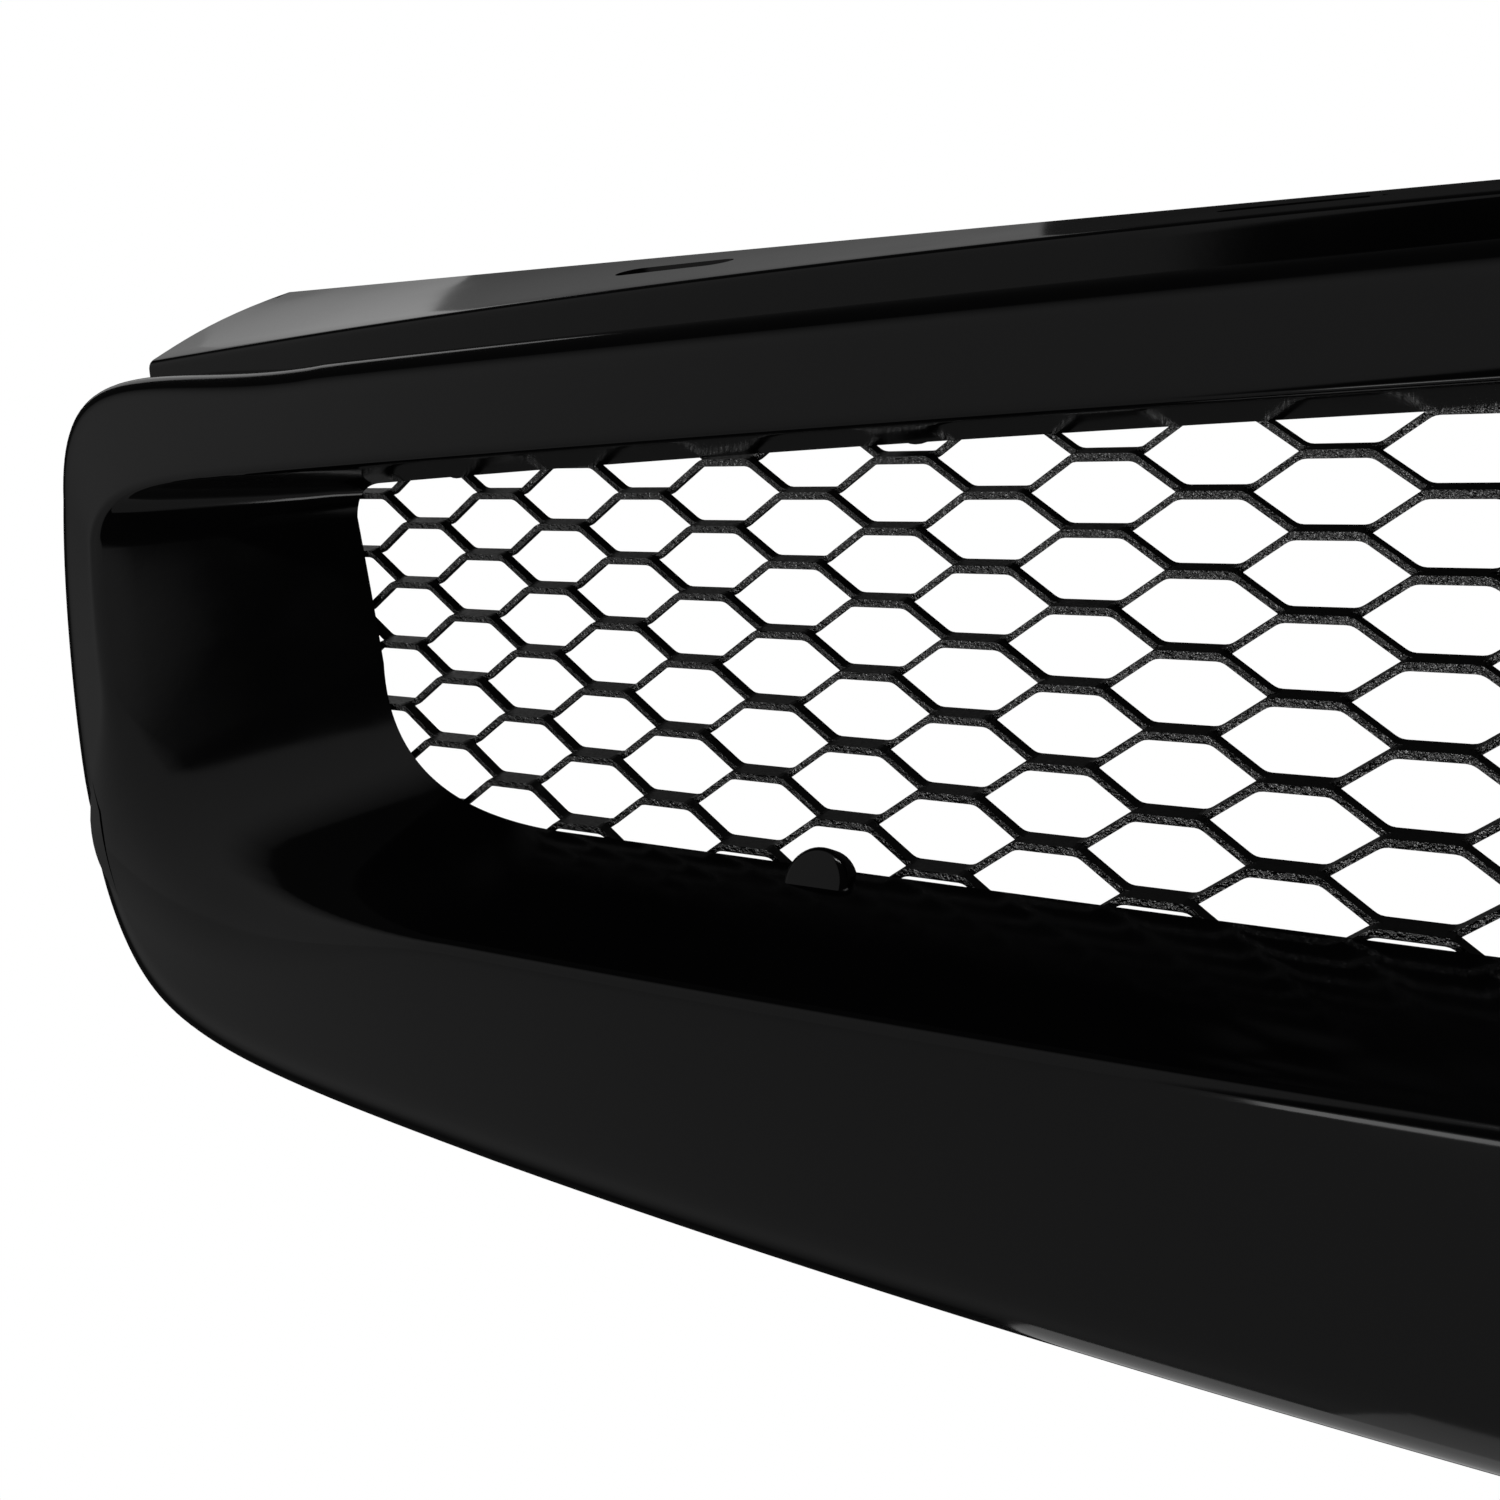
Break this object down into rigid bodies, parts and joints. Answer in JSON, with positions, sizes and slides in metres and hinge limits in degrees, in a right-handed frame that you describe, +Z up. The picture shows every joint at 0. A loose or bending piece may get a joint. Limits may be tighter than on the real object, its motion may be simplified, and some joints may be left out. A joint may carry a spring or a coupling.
{
  "type": "front grille",
  "caption": "Wide gloss black front grille surround with a slotted top flange, a funnelled opening and a raked expanded metal mesh screwed behind it.",
  "frame": {"origin": "middle of the level part of the top flange's upper face", "axes": "+X to the right for a viewer who faces the grille, along its length; +Y rearwards, into the car; +Z up, square to the top flange"},
  "size_m": [0.6554, 0.0746, 0.1101],
  "materials": {
    "gloss_abs": "piano black, moulded and lacquered",
    "coated_mesh": "black powder-coated expanded aluminium",
    "black_zinc_steel": "black zinc-plated steel"
  },
  "bodies": {
    "root": {"surround": "gloss_abs", "mesh_sheet": "coated_mesh", "mesh_washer_01": "black_zinc_steel", "mesh_washer_02": "black_zinc_steel", "mesh_washer_03": "black_zinc_steel", "mesh_washer_04": "black_zinc_steel", "mesh_washer_05": "black_zinc_steel", "mesh_washer_06": "black_zinc_steel", "mesh_washer_07": "black_zinc_steel", "mesh_washer_08": "black_zinc_steel", "mesh_washer_09": "black_zinc_steel", "mesh_washer_10": "black_zinc_steel", "mesh_screw_01": "black_zinc_steel", "mesh_screw_02": "black_zinc_steel", "mesh_screw_03": "black_zinc_steel", "mesh_screw_04": "black_zinc_steel", "mesh_screw_05": "black_zinc_steel", "mesh_screw_06": "black_zinc_steel", "mesh_screw_07": "black_zinc_steel", "mesh_screw_08": "black_zinc_steel", "mesh_screw_09": "black_zinc_steel", "mesh_screw_10": "black_zinc_steel"}
  },
  "joints": []
}
